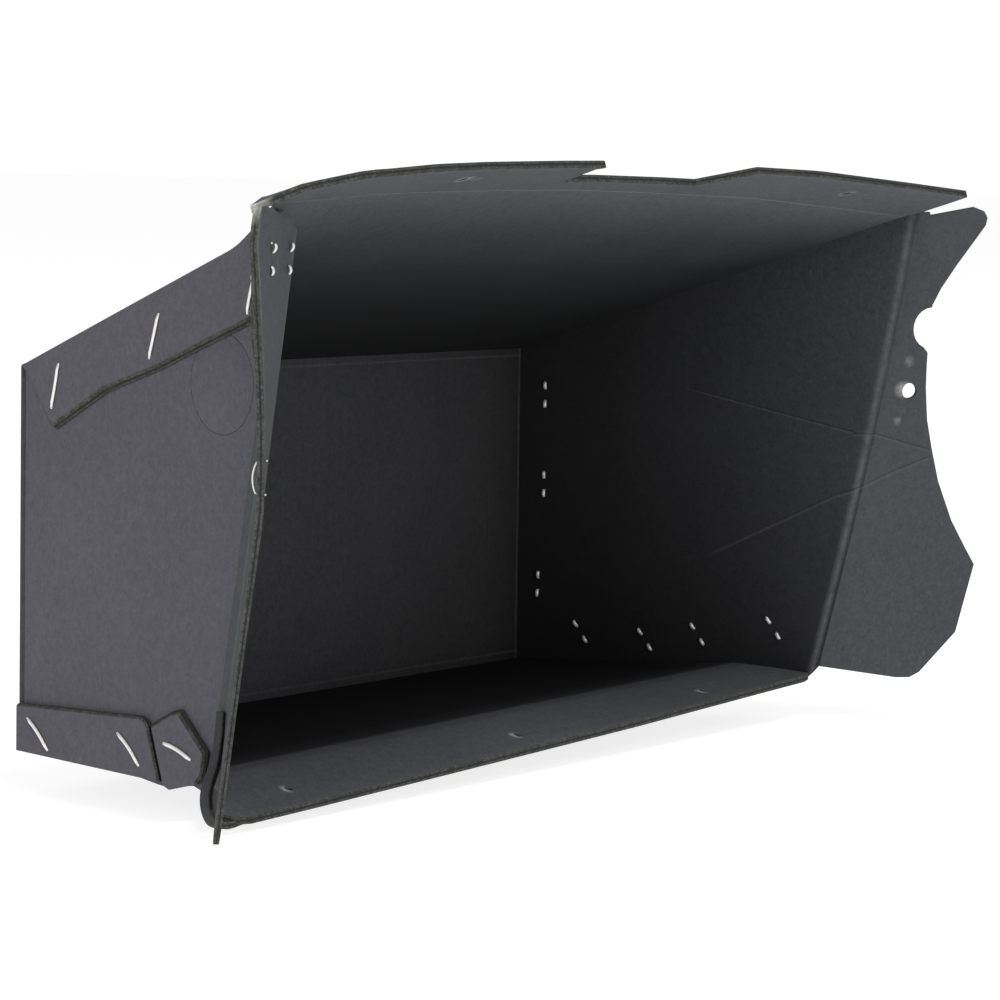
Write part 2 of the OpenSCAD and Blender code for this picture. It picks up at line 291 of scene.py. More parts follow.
def fibreBoard(name, tint=(1, 1, 1), creases=(), grooves=(), scuffs=(), innerShade=None):
    # creases: (axis, at, width, strength) on the flat sheet, painted lighter, partly worn fibres and
    # partly a painted highlight on the fold;
    # grooves: (u0, v0, u1, v1, width), painted dark as shade in the score, with a painted highlight on
    # one rim;
    # scuffs: (x, y, z, size, strength) in space, and the side and tables for the painted inner shade
    finish = Finish(name)
    where = finish.place()
    mottle, cloud, grain, pulp = (
        finish.noise(where, *boardLook[kind]) for kind in ("mottle", "cloud", "grain", "pulp"))
    stretched = finish.node("Mapping", None, {"Vector": where, "Scale": boardLook["fibreScale"]})
    fibre = finish.noise(stretched, 1.0, 2.0, 0.5)
    specks = ((fibre - 0.66) * 9).clip()
    tone = (mottle * 0.5 + grain * 1.3 + pulp * 1.1 + cloud * 0.3 - 1.1).clip()
    # tint scales the board's colour per piece: partly its own colour, partly painted light and shade,
    # lighter and darker copies of one board for how light falls on each piece
    dark = colour(*[a * b for a, b in zip(boardLook["dark"], tint)])
    light = colour(*[a * b for a, b in zip(boardLook["light"], tint)])
    paint = finish.blend(tone, dark, light)
    paint = finish.blend(specks * 0.22, paint, colour(*boardLook["fibre"]))
    height = grain * 0.5 + pulp * 0.6 + fibre * 0.4
    rough = mottle * 0.16 + grain * 0.14 + boardLook["rough"]
    sheet = finish.node("SeparateXYZ", None, {"Vector": finish.node("UVMap", {"uv_map": "sheet"})})
    sheetUv = (sheet, Sock(finish.tree, sheet.socket.node.outputs[1]))
    # painted shade: the inner face is blended towards a near-black colour deeper in the box
    if innerShade:
        paint = finish.blend(paintedInnerShade(finish, where, *innerShade), paint, colour(*boardLook["paintedShadeColour"]))
    # creases are painted lighter: partly worn fibres, partly a painted highlight along the rounded fold
    for axis, at, width, strength in creases:
        line = finish.strip(sheetUv[axis], at * mm, width * mm)
        wearAndHighlight = (line * (pulp * 1.4 + mottle * 0.7 - 0.35)).clip()
        paint = finish.blend(wearAndHighlight * strength, paint, colour(*boardLook["wearAndHighlight"]))
        height = height - line * 1.2
    # each groove is painted dark along its middle as painted shade in the score, and lighter along one
    # rim as a painted highlight
    for u0, v0, u1, v1, width in grooves:
        run = math.hypot(u1 - u0, v1 - v0)
        cu, cv = (u1 - u0) / run, (v1 - v0) / run
        along = (sheetUv[0] - u0 * mm) * cu + (sheetUv[1] - v0 * mm) * cv
        across = (sheetUv[1] - v0 * mm) * cu - (sheetUv[0] - u0 * mm) * cv
        ends = (along / (9 * mm)).clip() * ((run * mm - along) / (2 * mm)).clip()
        line = finish.strip(across, 0.0, width * mm) * ends
        rim = finish.strip(across, width * 0.6 * mm, width * 1.4 * mm) * ends
        paint = finish.blend(line * 0.4, paint, colour(*boardLook["grooveShade"]))
        paint = finish.blend((rim * (pulp + 0.2)).clip() * 0.18, paint, colour(*boardLook["wearAndHighlight"]))
        height = height - line * 2.6
    for x, y, z, size, strength in scuffs:
        patch = finish.spot(where, (x, y, z), size)
        torn = (patch * 1.5 * (grain + pulp * 0.8 - 0.35)).clip()
        paint = finish.blend(torn * strength, paint, colour(*boardLook["torn"]))
        height = height + patch * 2.0
    return finish.close(paint, rough, height, 0.16, 0.55, level=0.1 if innerShade else 0.35)


def cutEdgeLook(name, frayed=()):
    # the cut edge of the board: dark plies with olive and grey fibres
    finish = Finish(name)
    where = finish.place()
    fine = finish.noise(where, 1300, 4.0, 0.8)
    coarse = finish.noise(where, 420, 4.0, 0.7)
    ply = finish.node("Attribute", {"attribute_name": "ply"}, out=2)
    seam = (finish.strip(ply, 0.52, 0.34) * (coarse * 1.2 + 0.5)).clip()
    skin = (finish.strip(ply, 0.0, 0.34) + finish.strip(ply, 1.0, 0.34)).clip()
    flecks = ((fine + coarse * 0.55 - 0.70) * 5.0).clip()
    paint = finish.blend((fine * 0.9).clip(), colour(0.016, 0.016, 0.015), colour(0.048, 0.050, 0.043))
    paint = finish.blend(flecks * 0.5, paint, colour(0.135, 0.136, 0.118))
    paint = finish.blend(seam * 0.8, paint, colour(0.010, 0.010, 0.010))
    paint = finish.blend(skin * 0.4, paint, colour(0.075, 0.075, 0.075))
    for x, y, z, size, strength in frayed:
        patch = finish.spot(where, (x, y, z), size)
        torn = (patch * 1.8 * (fine + coarse * 0.7 - 0.2)).clip()
        paint = finish.blend(torn * strength, paint, colour(0.55, 0.54, 0.50))
    height = fine + coarse * 0.8 - seam * 0.9
    return finish.close(paint, fine * 0.2 + 0.68, height, 0.35, 0.8, level=0.2)


def stapleLook():
    finish = Finish("stapleWire")
    where = finish.place()
    streak = finish.noise(where, 1400, 3.0, 0.6)
    smear = finish.noise(where, 300, 3.0, 0.6)
    tone = (streak * 0.7 + smear * 0.5 - 0.1).clip()
    paint = finish.blend(tone, colour(0.62, 0.61, 0.58), colour(0.95, 0.94, 0.90))
    return finish.close(paint, streak * 0.2 + 0.34, streak, 0.04, 0.3, metal=0.45, level=0.5)


edgeLook = cutEdgeLook("cutEdge", frayed=[(-187, -120.5, 102.5, 6.5, 1.0)])
wireLook = stapleLook()
print("finishes ready")

rimAngle = 0.6  # radians between two faces that meet at a cut edge
flatNormal = 0.9  # a face that leans more than this is part of the cut edge
smoothAngle = 0.5  # a sharper edge than this is shaded as a crease


def raiseSheet(sheet, thickness):
    made = bmesh.ops.extrude_face_region(sheet, geom=sheet.faces[:])
    top = [v for v in made["geom"] if isinstance(v, bmesh.types.BMVert)]
    bmesh.ops.translate(sheet, verts=top, vec=(0, 0, thickness))
    bmesh.ops.recalc_face_normals(sheet, faces=sheet.faces[:])


def roundEdges(sheet, edges, offset, segments=2, clampOverlap=False):
    bmesh.ops.bevel(
        sheet, geom=edges, offset=offset, segments=segments, profile=0.5, material=-1,
        affect="EDGES", clamp_overlap=clampOverlap)


def cutSheet(outline, thickness, holes=(), soften=0.22, folded=(), slant=0.0):
    # a flat piece of board: outline and holes in its own plane, thickness upwards;
    # folded lists the outline's sides that aren't cut, slant bevels only the upper rim
    sheet = bmesh.new()
    rim = [sheet.verts.new((u, v, 0)) for u, v in outline]
    for a, b in zip(rim, rim[1:] + rim[:1]):
        sheet.edges.new((a, b))
    for u, v, radius in holes:
        bmesh.ops.create_circle(sheet, segments=28, radius=radius, matrix=Matrix.Translation((u, v, 0)))
    bmesh.ops.triangle_fill(sheet, edges=sheet.edges[:], use_beauty=True, use_dissolve=False)
    raiseSheet(sheet, thickness)
    sides = list(zip(outline, outline[1:] + outline[:1]))

    def nearest(point):
        best, found = math.inf, 0
        for i, ((u0, v0), (u1, v1)) in enumerate(sides):
            a, b = Vector((u0, v0)), Vector((u1, v1))
            t = clamp((Vector(point[:2]) - a).dot(b - a) / max((b - a).length_squared, 1e-9))
            gap = (a + (b - a) * t - Vector(point[:2])).length
            if gap < best:
                best, found = gap, i
        return found

    def cutEdges(lowest):
        return [
            e for e in sheet.edges
            if e.calc_face_angle(0) > rimAngle and min(v.co.z for v in e.verts) > lowest
            and nearest((e.verts[0].co + e.verts[1].co) / 2) not in folded]

    if slant:
        roundEdges(sheet, cutEdges(thickness - 1e-4), slant, segments=1, clampOverlap=True)
    elif soften:
        roundEdges(sheet, cutEdges(-1.0), soften)
    for face in sheet.faces:
        if abs(face.normal.z) < flatNormal:
            face.material_index = 0 if nearest(face.calc_center_median()) in folded else 1
    return sheet


def cutRows(sheet, axis, places):
    # extra rows of edges, so that the sheet can bend
    normal = Vector((1, 0, 0)) if axis == 0 else Vector((0, 1, 0))
    for at in places:
        bmesh.ops.bisect_plane(
            sheet, geom=sheet.verts[:] + sheet.edges[:] + sheet.faces[:], dist=1e-4,
            plane_co=normal * at, plane_no=normal)


def steps(low, high, size):
    count = max(1, round((high - low) / size))
    return [low + (high - low) * i / count for i in range(1, count)]


def finishSheet(name, sheet, place, look, body="liner", nodes=()):
    # puts a flat sheet in its place, keeps its own plane as a UV map, and makes the piece
    uvLayer = sheet.loops.layers.uv.new("sheet")
    ply = sheet.verts.layers.float.new("ply")
    heights = [v.co.z for v in sheet.verts]
    low, high = min(heights), max(heights)
    for vert in sheet.verts:
        vert[ply] = (vert.co.z - low) / max(high - low, 1e-6)
    for face in sheet.faces:
        for loop in face.loops:
            loop[uvLayer].uv = (loop.vert.co.x * mm, loop.vert.co.y * mm)
    for vert in sheet.verts:
        vert.co = Vector(place(*vert.co)) * mm
    bmesh.ops.remove_doubles(sheet, verts=sheet.verts[:], dist=1e-7)
    bmesh.ops.recalc_face_normals(sheet, faces=sheet.faces[:])
    for face in sheet.faces:
        face.smooth = True
    for edge in sheet.edges:
        if edge.calc_face_angle(0) > smoothAngle:
            edge.smooth = False
    mesh = bpy.data.meshes.new(name)
    sheet.to_mesh(mesh)
    sheet.free()
    mesh.materials.append(look)
    mesh.materials.append(edgeLook)
    piece = bpy.data.objects.new(name, mesh)
    bpy.context.scene.collection.objects.link(piece)
    if body:
        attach(piece, body)
    if nodes:
        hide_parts(*nodes)
    return piece


def sidePlace(side, out):
    # local plane: y along, z up, thickness outwards
    def place(y, z, w):
        return side * (halfWidth(y) + (out + w) / math.cos(splay)), y, z
    return place


# roof with its front flange, one sheet with a shallow fold
roof = {
    "flangeSlope": math.radians(16),
    "tabReach": 23.5,
    "stripReach": 8.7,
    "leftEnd": -186.0,
    "foldRound": 1.5,
    "holes": (-105, 104),
    "holeReach": 13,
    "holeRadius": 1.3,
}
roofRun = depth / math.cos(roofSlope)


def roofPlace(x, v, w):
    bend = roof["foldRound"]
    share = clamp((v - roofRun + bend) / (2 * bend))
    slope = roofSlope + (roof["flangeSlope"] - roofSlope) * share
    if v <= roofRun:
        y = box["backY"] - v * math.cos(roofSlope)
        z = box["roofZ"] + v * math.sin(roofSlope)
    else:
        y = box["frontY"] - (v - roofRun) * math.cos(roof["flangeSlope"])
        z = box["frontZ"] + (v - roofRun) * math.sin(roof["flangeSlope"])
    lift = roofLift(x, y)
    return x, y + w * math.sin(slope), z + w * math.cos(slope) + lift


def roofHalf(v):
    return box["backHalf"] + wallX + (box["frontHalf"] - box["backHalf"]) * v / roofRun


tabEdge = roofRun + roof["tabReach"]
stripEdge = roofRun + roof["stripReach"]
leftEnd = roof["leftEnd"]
roofOutline = [
    (-roofHalf(0), 0), (roofHalf(0), 0), (roofHalf(roofRun), roofRun), (167, roofRun + 3),
    (163, tabEdge), (34, tabEdge), (23, stripEdge), (-48.5, stripEdge - 0.5), (-52, tabEdge - 1.6),
    (-49, tabEdge), (leftEnd + 27, tabEdge), (leftEnd + 21.5, tabEdge - 1.2),
    (leftEnd + 8.5, roofRun + roof["tabReach"] * 0.46), (leftEnd + 0.5, roofRun + 2.0),
    (-roofHalf(roofRun - 4), roofRun - 4),
]
tabHoles = [(x, roofRun + roof["holeReach"], roof["holeRadius"]) for x in roof["holes"]]
sheet = cutSheet(roofOutline, board, holes=tabHoles, folded=(0, 1, 14))
cutRows(sheet, 0, steps(-188, 168, 5.0))
cutRows(sheet, 1, steps(0, tabEdge, 4.0) + [roofRun + at for at in (-1.5, -0.5, 0.5, 1.5)])
finishSheet(
    "roofSheet", sheet, roofPlace,
    fibreBoard(
        "roofBoard", tint=(1.50, 1.54, 1.56),
        innerShade=(0, [(1, [
            (-119, 1.0), (-106, 0.68), (-92, 0.40), (-72, 0.19), (-40, 0.11), (-2, 0.08)])]),
        creases=[(1, roofRun, 0.9, 0.8)],
        scuffs=[
            (-105, -130.6, 110, 4.2, 0.7), (-99, -130.6, 110, 3.2, 0.4),
            (104, -130.6, 103.5, 4.0, 0.4)]),
    nodes=("top_panel", "left_top_tab", "right_top_tab", "top_strip"))
print("roof and flange tabs")

# back panel, whose rim is all rounded folds
backWide = box["backHalf"] + wallX
backLow = box["floorZ"] - board
roofRise = board / math.cos(roofSlope)
backHigh = box["roofZ"] + roofRise
sheet = cutSheet(
    [(-backWide, backLow), (backWide, backLow), (backWide, backHigh), (-backWide, backHigh)],
    board, soften=0.9)
for face in sheet.faces:
    face.material_index = 0
cutRows(sheet, 0, steps(-127, 127, 8.0))
cutRows(sheet, 1, steps(-51, 51, 8.0))


def backPlace(x, z, w):
    return x, -w, z + backTilt(x) * smooth((z - warp["backFrom"]) / warp["backFade"])


finishSheet("backSheet", sheet, backPlace, fibreBoard(
    "backBoard", tint=(0.98, 0.98, 0.96),
    innerShade=(1, [(0, [(-125, 0.80), (-20, 0.70), (60, 0.56), (105, 0.42), (125, 0.26)])]),
    creases=[(0, 124.2, 1.6, 0.2), (1, 47.2, 1.2, 0.14), (1, -47.0, 1.2, 0.13)]), nodes=("back_panel",))
print("back panel")

# side panels
wallNormal = Vector((math.cos(splay), math.sin(splay), 0))  # out of the right side panel
foldTop = Vector((box["frontHalf"] + wallX, box["frontY"], box["frontZ"]))
foldLow = Vector((halfWidth(box["cornerY"]) + wallX, box["cornerY"], box["cornerZ"]))
foldLength = (foldLow - foldTop).length
down = (foldLow - foldTop) / foldLength
forward = down.cross(wallNormal)
skin = box["foldSkin"]
backShift = (-skin * forward.y, -skin * forward.z)

knockOut = {
    "y": box["frontY"] + 27.6,
    "z": box["floorZ"] + 103.8,
    "radius": 13.5,
    "slit": 0.14,
    "openRadius": 13.7,
    "openTurns": ((78, 62), (66, 48), (52, 34), (-64, -80)),
    "openWidth": 1.1,
}


def foldBow(d):
    # the fold isn't straight: it bows forward by up to 1.7 mm, a little less towards its foot
    t = clamp(d / foldLength)
    return 1.7 * math.sin(math.pi * t) * (1 - 0.25 * t)


def ringPoint(angle):
    turned, radius = math.radians(angle), knockOut["openRadius"]
    return knockOut["y"] - radius * math.cos(turned), knockOut["z"] - radius * math.sin(turned)


# the slit round the knock-out stands open below its front side, painted dark as the shade inside the
# open slit
knockSlits = [(*ringPoint(a), *ringPoint(b), knockOut["openWidth"]) for a, b in knockOut["openTurns"]]


def floorLine(y):
    return between(y, [(box["cornerY"], box["cornerZ"]), (box["creaseY"], box["floorZ"])])


def sideOutline(shiftY, shiftZ, bowed=False):
    topY, topZ = box["frontY"] + shiftY, box["frontZ"] + shiftZ
    lowY, lowZ = box["cornerY"] + shiftY, box["cornerZ"] + shiftZ
    # the ends of the shifted front edge are run on to the roof line and the floor line
    rise = (topZ - lowZ) / (topY - lowY)
    y = topY
    for _ in range(30):
        z = topZ + (y - topY) * rise
        y += (z - roofHeight(y)) * 0.05
    low = lowY
    for _ in range(40):
        z = lowZ + (low - lowY) * rise
        low += (floorLine(low) - z) / rise * 0.5
    head, foot = roofHeight(y), floorLine(low)
    rows = 16 if bowed else 1
    front = []
    for i in range(rows + 1):
        t = i / rows
        bow = foldBow(t * foldLength) if bowed else 0.0
        front.append((
            y + (low - y) * t + forward.y * bow, head + (foot - head) * t + forward.z * bow))
    return [(box["backY"], box["roofZ"])] + front + [
        (box["creaseY"], box["floorZ"]), (box["backY"], box["floorZ"])]


def wallPlace(side, out=0.0):
    flat = sidePlace(side, out)

    def place(y, z, w):
        x, y, z = flat(y, z, w)
        head = smooth((z - roofHeight(y) + warp["headFade"]) / warp["headFade"])
        z += roofLift(x, y) * head * (warp["leftHead"] if side < 0 else 1.0)
        foot = smooth((box["floorZ"] + warp["footFade"] - z) / warp["footFade"])
        if y < box["creaseY"] + 30:
            z += warp["footShare"] * floorDrop(x, y) * foot
        return x, y, z
    return place


leftOutline = sideOutline(4 * math.cos(splay), 0)  # it stops 4 mm behind the left flange's fold
sheet = cutSheet(
    leftOutline, board, holes=[(knockOut["y"], knockOut["z"], knockOut["radius"])],
    folded=range(len(leftOutline)), soften=0.0)
cutRows(sheet, 0, steps(-118, -2, 6.0))
cutRows(sheet, 1, steps(-52, 96, 7.0))
outerTint = (1.16, 1.10, 1.22)
finishSheet("leftWall", sheet, wallPlace(-1), fibreBoard(
    "leftWallBoard", tint=outerTint, grooves=knockSlits,
    scuffs=[(-150.5, -106, 42, 2.2, 0.25), (-158, -104, 30, 1.6, 0.5), (-141, -60, 20, 1.5, 0.3)]),
    nodes=("left_side_panel",))

sheet = bmesh.new()
bmesh.ops.create_circle(
    sheet, cap_ends=True, segments=48, radius=knockOut["radius"] - knockOut["slit"],
    matrix=Matrix.Translation((knockOut["y"], knockOut["z"], 0)))
raiseSheet(sheet, board)
roundEdges(sheet, [e for e in sheet.edges if e.calc_face_angle(0) > 1.0], 0.12)
cutRows(sheet, 0, steps(knockOut["y"] - 13, knockOut["y"] + 13, 5.0))
discPlace = wallPlace(-1)
finishSheet("knockOutDisc", sheet, lambda y, z, w: discPlace(y, z, w + 0.05), fibreBoard(
    "discBoard", tint=outerTint), nodes=("knockout_disc",))

rightOutline = sideOutline(*backShift, bowed=True)
wallShade = (0, [
    (1, [(-119, 0.90), (-102, 0.68), (-60, 0.34), (-28, 0.16), (-2, 0.13)]),
    (2, [(-50, 0.36), (-15, 0.66), (25, 0.94), (60, 1.0)])])
rightScores = [
    (box["frontY"] + 66, box["floorZ"] + 88.4, box["frontY"] + 5, box["floorZ"] + 73.4, 0.7),
    (box["frontY"] + 59, box["floorZ"] + 35, box["frontY"] + 8, box["floorZ"] + 61.5, 1.0),
]
sheet = cutSheet(rightOutline, board, folded=range(len(rightOutline)), soften=0.0)
cutRows(sheet, 0, steps(-118, -2, 6.0))
cutRows(sheet, 1, steps(-52, 96, 7.0))
finishSheet("rightWall", sheet, wallPlace(1), fibreBoard(
    "rightWallBoard", tint=(0.98, 0.99, 1.01), grooves=rightScores, innerShade=wallShade),
    nodes=("right_side_panel",))
print("side panels")

# floor and drooping lip
lipEdge = box["backY"] - box["lipY"]
lipHoles = {"x": (-119, -5, 100), "back": 7, "radius": 1.1}


def floorPlace(x, v, w):
    y = box["backY"] - v
    return x, y, box["floorZ"] + floorDrop(x, y) - board + w


def floorHalf(y):
    return halfWidth(y) + wallX


cornerRun = box["backY"] - box["cornerY"]
creaseRun = box["backY"] - box["creaseY"]
cornerHalf = floorHalf(box["cornerY"])
floorOutline = [
    (-floorHalf(box["backY"]), 0), (floorHalf(box["backY"]), 0), (cornerHalf + 0.4, cornerRun - 1),
    (cornerHalf - 1.5, lipEdge - 1.2), (cornerHalf - 6, lipEdge), (-146, lipEdge + 0.4),
    (-152.5, lipEdge - 0.6), (-154.5, lipEdge - 3.0), (-154.5, lipEdge - 9.0),
    (-145.0, lipEdge - 14.0), (-138.5, creaseRun + 3.0), (-floorHalf(box["creaseY"]), creaseRun - 0.6),
]
holeRun = lipEdge - lipHoles["back"]
holeY = box["lipY"] + lipHoles["back"]
sheet = cutSheet(
    floorOutline, board, holes=[(x, holeRun, lipHoles["radius"]) for x in lipHoles["x"]],
    folded=(0, 1, 11))
cutRows(sheet, 0, steps(-158, 158, 6.0))
cutRows(sheet, 1, steps(0, 60, 8.0) + steps(60, lipEdge, 2.0))
finishSheet("floorSheet", sheet, floorPlace, fibreBoard(
    "floorBoard", tint=(1.34, 1.34, 1.35), creases=[(1, creaseRun, 5.0, 0.2)],
    innerShade=(1, [(1, [(-95, 1.0), (-74, 0.95), (-67, 0.20), (-58, 0.07), (-2, 0.05)])]),
    grooves=[(x + 1.0, holeRun, x + 4.6, holeRun + 0.5, 1.5) for x in lipHoles["x"]],
    scuffs=[
        (x - 1.2, holeY, box["floorZ"] + floorDrop(x, holeY), 2.3, 0.8) for x in lipHoles["x"]] + [
        (-131, box["lipY"] + 6, -59, 1.6, 0.8), (-140, box["lipY"] + 5, -60, 1.4, 0.8),
        (-137, box["lipY"] + 19, -54, 2.6, 0.35)]),
    nodes=("floor_panel", "front_lip"))

# the lip's left end is bent up outside the left panel in a tight curl, seen here from the front
curl = {
    "path": [
        (-148.5, -62.5), (-155.5, -63.0), (-161.0, -61.2), (-164.3, -56.6), (-164.6, -51.4),
        (-161.8, -45.4), (-160.2, -39.0), (-159.4, -31.5)],
    "thick": 2.0,
    "lean": 1.6,
    "set": 0.5,
}


def alongPath(points, at):
    # a point and the direction at a distance along a rounded line
    lengths = [math.dist(a, b) for a, b in zip(points, points[1:])]
    total = sum(lengths)
    at = max(0.0, min(total - 1e-6, at))
    run = 0.0
    for i, size in enumerate(lengths):
        if at <= run + size:
            t = (at - run) / size
            p0 = Vector(points[max(i - 1, 0)])
            p1, p2 = Vector(points[i]), Vector(points[i + 1])
            p3 = Vector(points[min(i + 2, len(points) - 1)])
            first, second, third = p2 - p0, 2 * p0 - 5 * p1 + 4 * p2 - p3, 3 * p1 - p0 - 3 * p2 + p3
            spot = 0.5 * (2 * p1 + first * t + second * t * t + third * t ** 3)
            way = 0.5 * (first + 2 * second * t + 3 * third * t * t)
            return spot, way.normalized()
        run += size
    return Vector(points[-1]), (Vector(points[-1]) - Vector(points[-2])).normalized()


curlLength = sum(math.dist(a, b) for a, b in zip(curl["path"], curl["path"][1:]))


def curlPlace(u, v, w):
    spot, way = alongPath(curl["path"], u)
    side = Vector((way.y, -way.x))
    back = curl["set"] - curl["lean"] * smooth(u / curlLength)
    return spot.x + side.x * w, box["lipY"] + back + v, spot.y + side.y * w


sheet = cutSheet(
    [(0, 0), (curlLength, 0.8), (curlLength, 3.0), (12, 3.4), (0, 4.0)], curl["thick"],
    folded=(4,), soften=0.2)
cutRows(sheet, 0, steps(0, curlLength, 1.6))
finishSheet(
    "lipCurl", sheet, curlPlace, fibreBoard("curlBoard", tint=(0.5, 0.5, 0.5)), nodes=("lip_end_tab",))
print("floor, lip and curled end")

# left front flange, twisted along its fold
leftFlangeShape = {
    "width": 22.0,
    "fold": 53.0,
    "twist": 29.0,
    "twistShare": 0.5,  # the twist is over at this share of the fold's length
    "round": 1.8,
    "thinning": 0.25,
}


def leftFoldPoint(s):
    top = Vector((-foldTop.x, foldTop.y, foldTop.z))
    low = Vector((-foldLow.x, foldLow.y, foldLow.z))
    return top + (low - top) * s


def leftTurn(s):
    share = leftFlangeShape["twistShare"]
    more = leftFlangeShape["twist"] * clamp((share - s) / share) ** 1.3
    return math.radians(leftFlangeShape["fold"] + more)


def leftFlangePlace(u, d, w):
    # w = 0 is the back face on the fold line, the board's thickness lies in front of it
    s = d / foldLength
    w *= 1 - leftFlangeShape["thinning"] * smooth((s - 0.3) / 0.5) * smooth((u - 2) / 6)
    turn = leftTurn(s)
    bend = leftFlangeShape["round"]
    alongWall = Vector((math.sin(splay), math.cos(splay)))
    if u <= -bend:
        angle, ahead = splay, alongWall * u
    else:
        radius = 2 * bend / (turn - splay)
        angle = splay + (turn - splay) * clamp((u + bend) / (2 * bend))
        ahead = alongWall * -bend
        ahead += Vector((math.cos(splay) - math.cos(angle), math.sin(angle) - math.sin(splay))) * radius
        if u > bend:
            ahead += Vector((math.sin(turn), math.cos(turn))) * (u - bend)
    base = leftFoldPoint(s)
    return (
        base.x - ahead.x + w * math.cos(angle), base.y - ahead.y - w * math.sin(angle), base.z)


wide = leftFlangeShape["width"]
flangeOutline = [
    (-4, -0.4), (-1.0, -1.4), (2, -2.6), (6, -5.2), (11, -6.6), (19, -8.6), (wide - 0.6, -8.4),
    (wide, -6.5), (wide + 0.3, 40), (wide + 0.5, 96), (wide + 0.3, 101.5), (wide - 0.9, 103),
    (wide - 0.5, 130), (wide - 0.4, foldLength + 7.5), (wide - 2.4, foldLength + 12.3),
    (wide - 6, foldLength + 12.0), (2, foldLength + 1.0), (-4, foldLength - 0.4),
]
sheet = cutSheet(flangeOutline, board, folded=(17,), soften=0.24)
cutRows(sheet, 0, [-1.8, -1.0, -0.2, 0.6, 1.2, 1.8, 8, 15])
cutRows(sheet, 1, steps(-8, foldLength + 12, 5.0))
finishSheet("leftFlange", sheet, leftFlangePlace, fibreBoard(
    "leftFlangeBoard", tint=(0.80, 0.82, 0.83),
    creases=[(0, wide - 0.4, 1.3, 0.4), (0, 0.4, 3.0, 0.22)],
    scuffs=[(-186, -120, 102, 4.5, 0.5)]), nodes=("left_flange",))


ear = {
    "gap": 0.05,
    "outline": [
        (1.5, -5.0), (12.0, -6.6), (16.6, -7.2), (17.0, -4), (16.8, 26), (14, 31.5), (7, 31.8),
        (3.2, 28), (2.6, 6)],
    "stapleDown": 5.5,
    "stapleAcross": (3.6, 14.2),
}


def earPlace(u, d, w):
    return leftFlangePlace(u, d, w - board - ear["gap"])


sheet = cutSheet(ear["outline"], board, soften=0.24)
cutRows(sheet, 0, [1.8, 8, 13])
cutRows(sheet, 1, steps(-8, 32, 5.0))
finishSheet(
    "cornerEar", sheet, earPlace, fibreBoard("earBoard", tint=outerTint), nodes=("corner_ear",))
print("left flange and its ear")

# right front flange, which folds
rightFlangeShape = {
    "fold": math.radians(25),
    "round": 1.3,
    "notch": (15.2, 32.4, 6.6),  # out from the fold, down from its top, radius
    "hole": (11.9, 53.1, 2.45),
    "bowFade": 9.0,
}


def rightFlangePlace(u, d, w):
    # w = 0 is the outer face, negative u lies on the side panel
    bend = rightFlangeShape["round"]
    turn = rightFlangeShape["fold"]
    radius = 2 * bend / turn
    if u <= -bend:
        angle, ahead = 0.0, Vector((u, 0))
    else:
        angle = turn * clamp((u + bend) / (2 * bend))
        ahead = Vector((-bend + radius * math.sin(angle), radius * (1 - math.cos(angle))))
        if u > bend:
            ahead += Vector((math.cos(turn), math.sin(turn))) * (u - bend)
    bow = foldBow(d) * clamp(1 - (u - skin) / rightFlangeShape["bowFade"])
    where = foldTop + down * d + forward * (ahead.x + bow) + wallNormal * ahead.y
    face = wallNormal * math.cos(angle) - forward * math.sin(angle)
    level = clamp((-bend - u) / (skin - bend))
    face = face.lerp(Vector((1 / math.cos(splay), 0, 0)), level)
    where += face * (w - board)
    return where.x, where.y, where.z


notchU, notchV, notchR = rightFlangeShape["notch"]
notchArc = [
    (notchU - notchR * math.cos(math.radians(a)), notchV + notchR * math.sin(math.radians(a)))
    for a in range(-75, 76, 15)]
flangeEdge = [
    (skin, -2.2), (6.2, -3.0), (6.5, -2.0), (19.9, -7.2), (23.2, -6.6), (24.7, -4.8), (24.7, -2.4),
    (18.2, 11.8), (15.0, 19.6), (13.4, 25.4)] + notchArc + [
    (15.2, 40.2), (15.8, 44), (17.1, 51), (19.8, 61), (23.3, 69.6), (27.7, 79.4), (34.7, 90.8),
    (41.1, 98.6), (45.1, 103.2), (44.0, 125.5), (35.2, 140.2), (32.4, 142.4), (28.1, 143.2),
    (skin, 144.0)]
sheet = cutSheet(
    flangeEdge, board, holes=[rightFlangeShape["hole"]], folded=(len(flangeEdge) - 1,), soften=0.24)
cutRows(sheet, 0, steps(skin, 46, 6.0))
cutRows(sheet, 1, steps(-7, 144, 5.0))
holeAt = rightFlangePlace(*rightFlangeShape["hole"][:2], 0)
finishSheet("rightFlange", sheet, rightFlangePlace, fibreBoard(
    "rightFlangeBoard", tint=(0.82, 0.84, 0.89),
    grooves=[(-8.0, 67.2, 24.2, 70.2, 0.8), (-8.0, 91.6, 24.6, 71.2, 0.9)],
    scuffs=[
        (holeAt[0] - 1.6, holeAt[1] + 1.2, holeAt[2] + 0.4, 3.2, 0.6),
        (*rightFlangePlace(9.7, 44, 0), 2.2, 0.22), (*rightFlangePlace(10.0, 63, 0), 1.6, 0.25)]),
    body="right_flange", nodes=("right_flange",))

